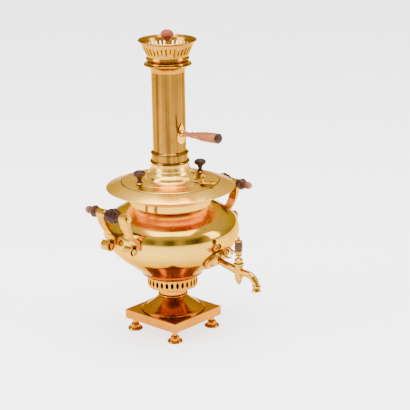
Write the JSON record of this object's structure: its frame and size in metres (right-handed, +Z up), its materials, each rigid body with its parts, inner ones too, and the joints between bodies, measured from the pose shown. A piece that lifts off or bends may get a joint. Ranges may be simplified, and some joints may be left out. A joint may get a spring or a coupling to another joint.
{
  "type": "charcoal samovar",
  "caption": "Squat vase-shaped water boiler with inner fire tube, sloping brim, stepped lid, tall chimney with pierced crown, two strap handles, a tap and a square plinth on feet.",
  "frame": {"origin": "centre of the four feet, on the plane the samovar stands on", "axes": "+Z up along the vessel's axis; the tap points to -Y; the two body handles stand at -X and +X"},
  "size_m": [0.3226, 0.3383, 0.5669],
  "materials": {
    "brass": "polished sheet brass, lightly lathe-brushed",
    "cast_brass": "polished castings with tarnish in the recesses",
    "dark_brass": "tarnished brass",
    "tinned_brass": "dull, tinned inside",
    "iron": "raw iron",
    "dark_wood": "turned and stained nearly black, worn",
    "light_wood": "turned, oiled",
    "red_wood": "turned, stained red"
  },
  "bodies": {
    "root": {"air_gallery": "brass", "base_bowl": "brass", "body_shell": "brass", "fire_grate": "iron", "fire_tube": "tinned_brass", "foot_front_left": "cast_brass", "foot_front_right": "cast_brass", "foot_rear_left": "cast_brass", "foot_rear_right": "cast_brass", "handle_cups_left": "brass", "handle_cups_right": "brass", "handle_end_knob_left_rear": "dark_wood", "handle_end_knob_right_front": "dark_wood", "handle_end_knob_right_rear": "dark_wood", "handle_end_nut_left": "brass", "handle_grip_left": "dark_wood", "handle_grip_right": "dark_wood", "handle_rod_left": "brass", "handle_rod_right": "brass", "handle_strap_left_front": "cast_brass", "handle_strap_left_rear": "cast_brass", "handle_strap_right_front": "cast_brass", "handle_strap_right_rear": "cast_brass", "pedestal": "brass", "plinth": "brass", "strap_rivets_left": "brass", "strap_rivets_right": "brass", "tap_back_nut": "brass", "tap_body": "cast_brass", "tap_plate": "cast_brass", "tie_nut": "iron", "tie_rod": "iron", "top_brim": "brass", "water_floor": "tinned_brass"},
    "tap_key": {"tap_key": "cast_brass", "key_drum": "dark_wood", "key_spire": "cast_brass", "key_lever": "cast_brass", "key_nut": "dark_brass"},
    "lid": {"lid": "brass", "lid_knob_left": "dark_wood", "lid_knob_right": "dark_wood", "lid_knob_screw_left": "brass", "lid_knob_screw_right": "brass"},
    "vent": {"vent_cover": "brass", "vent_knob": "brass"},
    "chimney": {"chimney_tube": "brass", "chimney_collar": "brass", "grip_shield": "brass", "grip_ferrule": "brass", "chimney_grip": "light_wood", "grip_cap": "dark_wood"},
    "crown": {"drip_ring": "brass", "crown": "brass"},
    "damper": {"damper_cap": "brass", "damper_knob": "red_wood"}
  },
  "joints": [
    {"name": "key_turn", "type": "hinge", "parent": "root", "child": "tap_key", "pos_m": [0, -0.163, 0.1485], "axis": [0, 0, 1], "range_deg": [0, 90]},
    {"name": "lid_lift", "type": "slide", "parent": "root", "child": "lid", "axis": [0, 0, 1], "range_m": [0, 0.06]},
    {"name": "vent_swing", "type": "hinge", "parent": "lid", "child": "vent", "pos_m": [0.0089, -0.07246, 0.295], "axis": [0, 0, 1], "range_deg": [0, 145]},
    {"name": "chimney_lift", "type": "slide", "parent": "lid", "child": "chimney", "axis": [0, 0, 1], "range_m": [0, 0.05]},
    {"name": "crown_lift", "type": "slide", "parent": "chimney", "child": "crown", "axis": [0, 0, 1], "range_m": [0, 0.04]},
    {"name": "damper_lift", "type": "slide", "parent": "crown", "child": "damper", "axis": [0, 0, 1], "range_m": [0, 0.05]}
  ]
}
